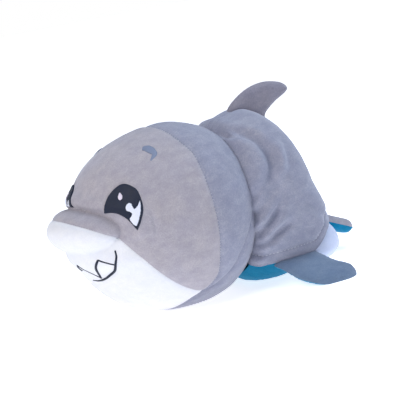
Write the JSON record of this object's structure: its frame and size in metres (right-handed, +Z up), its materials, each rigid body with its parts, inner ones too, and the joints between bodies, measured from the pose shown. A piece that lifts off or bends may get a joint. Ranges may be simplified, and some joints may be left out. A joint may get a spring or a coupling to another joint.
{
  "type": "reversible plush shark",
  "caption": "Soft reversible plush sea animal with a beaked head, embroidered eyes and toothed grin, and a finned sleeve over a second head.",
  "frame": {"origin": "middle of the toy's plan box, on the surface it lies on", "axes": "face looks along -Y, +Z up, +X is the toy's own left side, which carries the grin"},
  "size_m": [0.242, 0.398, 0.23],
  "materials": {
    "grey_velour": "short-pile velour plush, matt with a soft sheen",
    "white_velour": "short-pile velour plush, white",
    "teal_velour": "short-pile velour plush, teal blue",
    "stuffing": "loose polyester fibre filling",
    "navy_thread": "satin-stitch embroidery, near-black navy",
    "white_thread": "satin-stitch embroidery, bluish white",
    "slate_thread": "satin-stitch embroidery, slate blue"
  },
  "bodies": {
    "head": {"head_filling": "stuffing", "face_panel": "grey_velour", "beak_panel": "grey_velour", "muzzle_panel": "white_velour", "head_side_band": "grey_velour", "head_rear_gusset": "grey_velour", "left_eye_patch": "navy_thread", "left_eye_wedge": "white_thread", "left_eye_glint": "white_thread", "right_eye_patch": "navy_thread", "right_eye_wedge": "white_thread", "right_eye_glint": "white_thread", "left_brow": "slate_thread", "right_brow": "slate_thread", "grin_stitching": "navy_thread", "teeth_stitching": "navy_thread"},
    "neck": {"neck_wall": "grey_velour"},
    "torso": {"second_head_filling": "stuffing", "second_head_skin": "teal_velour", "second_head_muzzle": "white_velour", "sleeve_panel_left": "grey_velour", "sleeve_panel_right": "grey_velour", "hem_band_left": "grey_velour", "hem_band_right": "grey_velour", "sleeve_lining": "teal_velour"},
    "left_flipper": {"left_flipper_top": "grey_velour", "left_flipper_underside": "teal_velour", "left_flipper_filling": "stuffing"},
    "right_flipper": {"right_flipper_top": "grey_velour", "right_flipper_underside": "teal_velour", "right_flipper_filling": "stuffing"},
    "dorsal_fin": {"dorsal_fin_left": "grey_velour", "dorsal_fin_right": "grey_velour", "dorsal_fin_filling": "stuffing"},
    "tail_fin": {"tail_fin_top": "grey_velour", "tail_fin_underside": "teal_velour", "tail_fin_filling": "stuffing"}
  },
  "joints": [
    {"name": "head_turn", "type": "hinge", "parent": "torso", "child": "neck", "pos_m": [0, -0.045, 0.107], "axis": [0, 0, 1], "range_deg": [-12, 12], "stiffness_Nm_per_rad": 1.2},
    {"name": "head_nod", "type": "hinge", "parent": "neck", "child": "head", "pos_m": [0, -0.045, 0.107], "axis": [-1, 0, 0], "range_deg": [-6, 8], "stiffness_Nm_per_rad": 2},
    {"name": "left_flipper_flap", "type": "hinge", "parent": "torso", "child": "left_flipper", "pos_m": [0.08, 0.065, 0.0248], "axis": [0, -1, 0], "range_deg": [-3, 60], "stiffness_Nm_per_rad": 0.05},
    {"name": "right_flipper_flap", "type": "hinge", "parent": "torso", "child": "right_flipper", "pos_m": [-0.08, 0.065, 0.0248], "axis": [0, 1, 0], "range_deg": [-3, 60], "stiffness_Nm_per_rad": 0.05},
    {"name": "dorsal_fin_flop", "type": "hinge", "parent": "torso", "child": "dorsal_fin", "pos_m": [0, 0.081, 0.203], "axis": [0, 0.945, -0.3269], "range_deg": [-40, 40], "stiffness_Nm_per_rad": 0.04},
    {"name": "tail_fin_lift", "type": "hinge", "parent": "torso", "child": "tail_fin", "pos_m": [0, 0.1515, 0.049], "axis": [1, 0, 0], "range_deg": [-8, 45], "stiffness_Nm_per_rad": 0.03}
  ]
}
